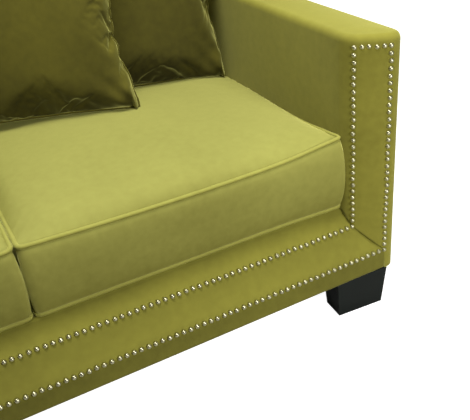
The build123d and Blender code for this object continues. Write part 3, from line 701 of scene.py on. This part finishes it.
def blown_pillow(points, faces, seed):
    """With cloth: the sewn sheets are blown up, so that ears and folds come as they do in a real cover."""
    half = PILLOW / 2 * 1.10 * MM
    start = points * [half, half, 0.010]
    start[:, 2] += 0.0008 * ripple(points * 200, seed, 30.0) * (np.abs(points[:, 2]) > 0.01)
    mesh = bpy.data.meshes.new("pillow_sheets")
    mesh.from_pydata(start.tolist(), [], faces.tolist())
    sheets = bpy.data.objects.new("pillow_sheets", mesh)
    bpy.context.scene.collection.objects.link(sheets)
    cloth = sheets.modifiers.new("cloth", "CLOTH")
    cloth.settings.use_pressure = True
    cloth.settings.uniform_pressure_force = 4.0
    cloth.settings.effector_weights.gravity = 0.0
    cloth.settings.mass = 0.15
    cloth.settings.bending_stiffness = 0.3
    cloth.settings.quality = 6
    for step in range(1, 25):
        bpy.context.scene.frame_set(step)
    done = sheets.evaluated_get(bpy.context.evaluated_depsgraph_get())
    moved = np.empty(len(points) * 3)
    done.data.vertices.foreach_get("co", moved)
    bpy.context.scene.frame_set(1)
    bpy.data.objects.remove(sheets)
    moved = moved.reshape(-1, 3) / MM
    reach = np.abs(moved[:, :2]).max(0)
    print("pillow blown to", reach.round(1).tolist(), np.abs(moved[:, 2]).max().round(1))
    moved[:, :2] *= PILLOW / 2 / reach
    moved[:, 2] *= PILLOW_THICK / max(1.0, np.abs(moved[:, 2]).max())
    return moved


def toss_pillow(name, spec, seed):
    """A knife-edge pillow with a thin welt on its seam, set down where it leans."""
    points, faces, rim = sewn_sheets(91)
    form = blown_pillow(points, faces, seed)
    u, v = points[:, 0], points[:, 1]
    ear = np.clip(np.minimum(np.abs(u), np.abs(v)), 0, 1) ** 4
    edge = np.maximum(np.abs(u), np.abs(v))
    along = np.where(np.abs(u) > np.abs(v), v, u)
    gathers = np.sin(along * 31 + 2 * np.sin(along * 5 + seed)) * edge ** 6 * (1 - edge ** 12)
    crease = np.sin(np.sign(u * v) * (u - v * np.sign(u * v)) * 29 + seed) * ear * (1 - edge ** 20)
    corner = np.hypot(1 - np.abs(u), 1 - np.abs(v))
    puff = 15 * np.exp(-((corner - 0.24) / 0.15) ** 2) * np.sqrt(np.clip(1 - edge ** 8, 0, 1))
    form[:, 2] += np.sign(points[:, 2]) * (2.2 * gathers + 6.2 * crease + puff)
    tip = np.exp(-(corner / 0.11) ** 2)[:, None]
    form[:, :2] -= 9 * tip * np.sign(points[:, :2])
    lower = rim[np.argsort(form[rim, 0])]
    lower = lower[form[lower, 1] < -0.7 * PILLOW / 2]
    bow = np.interp(form[:, 0], form[lower, 0], form[lower, 1] + PILLOW / 2)
    form[:, 1] -= 0.9 * bow * np.clip(-v, 0, 1) ** 3
    place = pillow_place(spec)
    mesh = bpy.data.meshes.new("pillow_skin_" + name)
    mesh.from_pydata((place(form) * MM).tolist(), [], faces.tolist())
    mesh.polygons.foreach_set("use_smooth", [True] * len(mesh.polygons))
    mesh.materials.append(velvet_pillow_painted_shade)
    skin = bpy.data.objects.new("pillow_skin_" + name, mesh)
    bpy.context.scene.collection.objects.link(skin)
    smooth = skin.modifiers.new("smooth", "SUBSURF")
    smooth.levels = smooth.render_levels = 1
    welt = tube_mesh("pillow_welt_" + name, place(form[rim] * [1.004, 1.004, 1]), 2.4, velvet_pillow_painted_shade)
    finish_piece(skin, "toss_pillow_" + name, "velvet", "pillow_cover_" + name, "pillow_insert_" + name)
    finish_piece(welt, "toss_pillow_" + name, "velvet_piping")


toss_pillow("front", FRONT_PILLOW, 4)
toss_pillow("corner", CORNER_PILLOW, 9)


# ---------------------------------------------------------------- floor, light and camera
def stage():
    """A pale floor that fades to white for the camera, and a white world that is dimmer for all rays but the
    camera's.
    """
    s = Shader("pale_floor")
    s.set(Base_Color=s.mix(s.noise(3.0, 2.0), (0.46, 0.46, 0.45), (0.50, 0.50, 0.49)))
    s.set(Roughness=0.9)
    seen = s.node("ShaderNodeLightPath", {}, [], "Is Camera Ray")
    s.set(Emission_Color=s.mix(seen, (0.0, 0.0, 0.0), (1.0, 1.0, 1.0)), Emission_Strength=1.0)
    mesh = bpy.data.meshes.new("floor")
    far = 8.0
    mesh.from_pydata([(-far, -far, 0), (far, -far, 0), (far, far, 0), (-far, far, 0)], [], [(0, 1, 2, 3)])
    mesh.materials.append(s.material)
    floor = bpy.data.objects.new("floor", mesh)
    bpy.context.scene.collection.objects.link(floor)
    world = bpy.data.worlds.new("studio")
    bpy.context.scene.world = world
    world.use_nodes = True
    background = world.node_tree.nodes["Background"]
    background.inputs["Color"].default_value = (1, 1, 1, 1)
    seen = world.node_tree.nodes.new("ShaderNodeLightPath")
    bright = world.node_tree.nodes.new("ShaderNodeMapRange")
    bright.inputs["To Min"].default_value = 0.21
    bright.inputs["To Max"].default_value = 1.0
    world.node_tree.links.new(seen.outputs["Is Camera Ray"], bright.inputs["Value"])
    world.node_tree.links.new(bright.outputs["Result"], background.inputs["Strength"])


def soft_lamp(name, place, target, size, power):
    data = bpy.data.lights.new(name, "AREA")
    data.shape = "DISK"
    data.size = size
    data.energy = power
    lamp = bpy.data.objects.new(name, data)
    z_axis = (np.array(place) - target) / np.linalg.norm(np.array(place) - target)
    x_axis = np.cross([0, 0, 1.0], z_axis)
    x_axis /= np.linalg.norm(x_axis)
    y_axis = np.cross(z_axis, x_axis)
    axes = np.stack([x_axis, y_axis, z_axis], 1).tolist()
    lamp.matrix_world = Matrix([[*row, p] for row, p in zip(axes, place)] + [[0, 0, 0, 1]])
    bpy.context.scene.collection.objects.link(lamp)


def camera():
    """The view from above the left front of the right seat, rolled a few degrees."""
    right = (0.87713, -0.47325, -0.0817)
    up = (0.30747, 0.4227, 0.85252)
    back = (-0.36892, -0.77289, 0.51627)
    place = (-0.0764, -1.4355, 1.0371)
    data = bpy.data.cameras.new("camera")
    data.sensor_width = 36.0
    data.lens = 51.97
    data.clip_start = 0.01
    made = bpy.data.objects.new("camera", data)
    rows = [[right[i], up[i], back[i], place[i]] for i in range(3)]
    made.matrix_world = Matrix(rows + [[0, 0, 0, 1]])
    bpy.context.scene.collection.objects.link(made)
    bpy.context.scene.camera = made


stage()
soft_lamp("key", (0.1, -0.6, 3.2), (0.3, 0, 0.4), 1.1, 80)
soft_lamp("fill", (0.85, -1.8, 0.8), (0.8, -0.4, 0.3), 0.6, 19)
soft_lamp("back", (-0.4, 2.8, 2.4), (0.2, 0, 0.4), 1.6, 40)
camera()
bpy.context.scene.view_settings.view_transform = "Standard"
